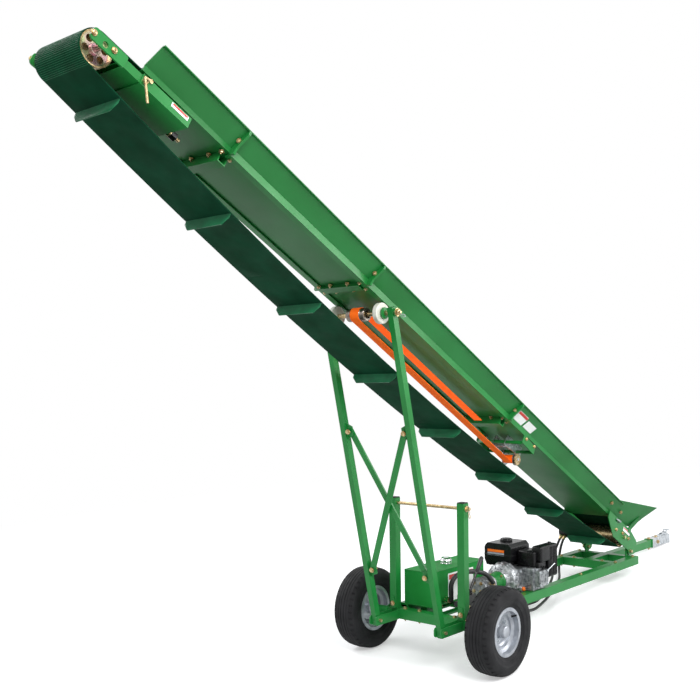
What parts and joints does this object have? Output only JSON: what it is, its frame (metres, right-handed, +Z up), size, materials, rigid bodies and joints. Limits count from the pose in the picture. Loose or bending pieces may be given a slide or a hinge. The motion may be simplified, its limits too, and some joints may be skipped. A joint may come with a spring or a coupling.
{
  "type": "towable firewood conveyor",
  "caption": "Towable firewood conveyor: flared belt trough on a two-wheeled trailer, raised by a hinged roller mast and hand winch, with petrol hydraulic drive.",
  "frame": {"origin": "on the floor under the middle of the whole machine's box", "axes": "+X forward to the hitch, +Y left, +Z up as the trailer stands parked on its wheels and coupler"},
  "size_m": [4.8372, 0.926, 2.6588],
  "materials": {
    "tyre": "ribbed black tyre rubber",
    "wheel_rim": "silver paint",
    "hub": "cast hub, painted silver",
    "belt": "dark green PVC belt",
    "strap": "orange woven webbing",
    "nylon": "white nylon",
    "pulley": "turned steel",
    "zinc_yellow": "yellow zinc plate",
    "zinc_bright": "bright zinc plate",
    "engine_metal": "cast aluminium and black steel",
    "hydraulic_black": "black paint",
    "black_plastic": "black moulded plastic",
    "hose": "black rubber hose",
    "green_paint": "green powder coat"
  },
  "bodies": {
    "chassis": {"air_cleaner": "black_plastic", "axle_beam": "green_paint", "bell_housing": "green_paint", "boom_pivot_pins": "zinc_yellow", "boom_uprights": "green_paint", "control_valve": "hydraulic_black", "cradle_pin": "zinc_yellow", "cradle_posts": "green_paint", "crossmembers": "green_paint", "engine": "engine_metal", "engine_bed": "green_paint", "engine_fuel_tank": "black_plastic", "frame_rails": "green_paint", "hitch_coupler": "zinc_bright", "hose_pressure": "hose", "hose_return": "hose", "hydraulic_pump": "engine_metal", "hydraulic_tank": "green_paint", "mast_feet": "green_paint", "mast_foot_pins": "zinc_yellow", "muffler": "engine_metal", "stub_axles": "green_paint", "suction_hose": "hose", "tongue": "green_paint"},
    "wheel_left": {"tyre_left": "tyre", "rim_left": "wheel_rim", "hub_left": "hub"},
    "wheel_right": {"tyre_right": "tyre", "rim_right": "wheel_rim", "hub_right": "hub"},
    "boom": {"belt_carrying_run": "belt", "belt_return_run": "belt", "drive_motor": "hydraulic_black", "head_drum": "zinc_yellow", "hopper": "green_paint", "joint_frame_lower": "green_paint", "joint_frame_middle": "green_paint", "joint_frame_upper": "green_paint", "lift_strap": "strap", "lock_handle": "zinc_yellow", "roller_tracks": "green_paint", "tail_drum": "zinc_yellow", "tail_plates": "green_paint", "take_up_sleeve": "green_paint", "take_up_slides": "green_paint", "tension_screw": "zinc_yellow", "trough_head": "green_paint", "trough_lower": "green_paint", "trough_tail": "green_paint", "trough_upper": "green_paint", "winch": "zinc_bright"},
    "mast": {"mast_legs": "green_paint", "mast_braces": "green_paint", "roller_shaft": "zinc_yellow", "nylon_rollers": "nylon", "strap_pulley": "pulley"},
    "strap_end": {"strap_bight": "strap"}
  },
  "joints": [
    {"name": "wheel_left_spin", "type": "hinge", "parent": "chassis", "child": "wheel_left", "pos_m": [-0.52376, 0.395, 0.208], "axis": [0, 1, 0], "continuous": true},
    {"name": "wheel_right_spin", "type": "hinge", "parent": "chassis", "child": "wheel_right", "pos_m": [-0.52376, -0.395, 0.208], "axis": [0, 1, 0], "continuous": true},
    {"name": "boom_lift", "type": "hinge", "parent": "chassis", "child": "boom", "pos_m": [1.45136, 0, 0.14478], "axis": [0, 1, 0], "range_deg": [-13, 4], "deforming": ["belt_return_run", "lift_strap", "hose_pressure", "hose_return"]},
    {"name": "mast_swing", "type": "hinge", "parent": "chassis", "child": "mast", "pos_m": [-0.70064, 0, 0.21567], "axis": [0, 1, 0], "range_deg": [-37.03, 11.74]},
    {"name": "strap_run", "type": "slide", "parent": "boom", "child": "strap_end", "axis": [-0.8464, 0, 0.5325], "range_m": [-0.181, 0.5816], "deforming": ["strap_bight"]}
  ],
  "couplings": [
    {"joint": "mast_swing", "follows": "boom_lift", "ratio": 2.81},
    {"joint": "strap_run", "follows": "boom_lift", "m_per_rad": -2.55}
  ]
}
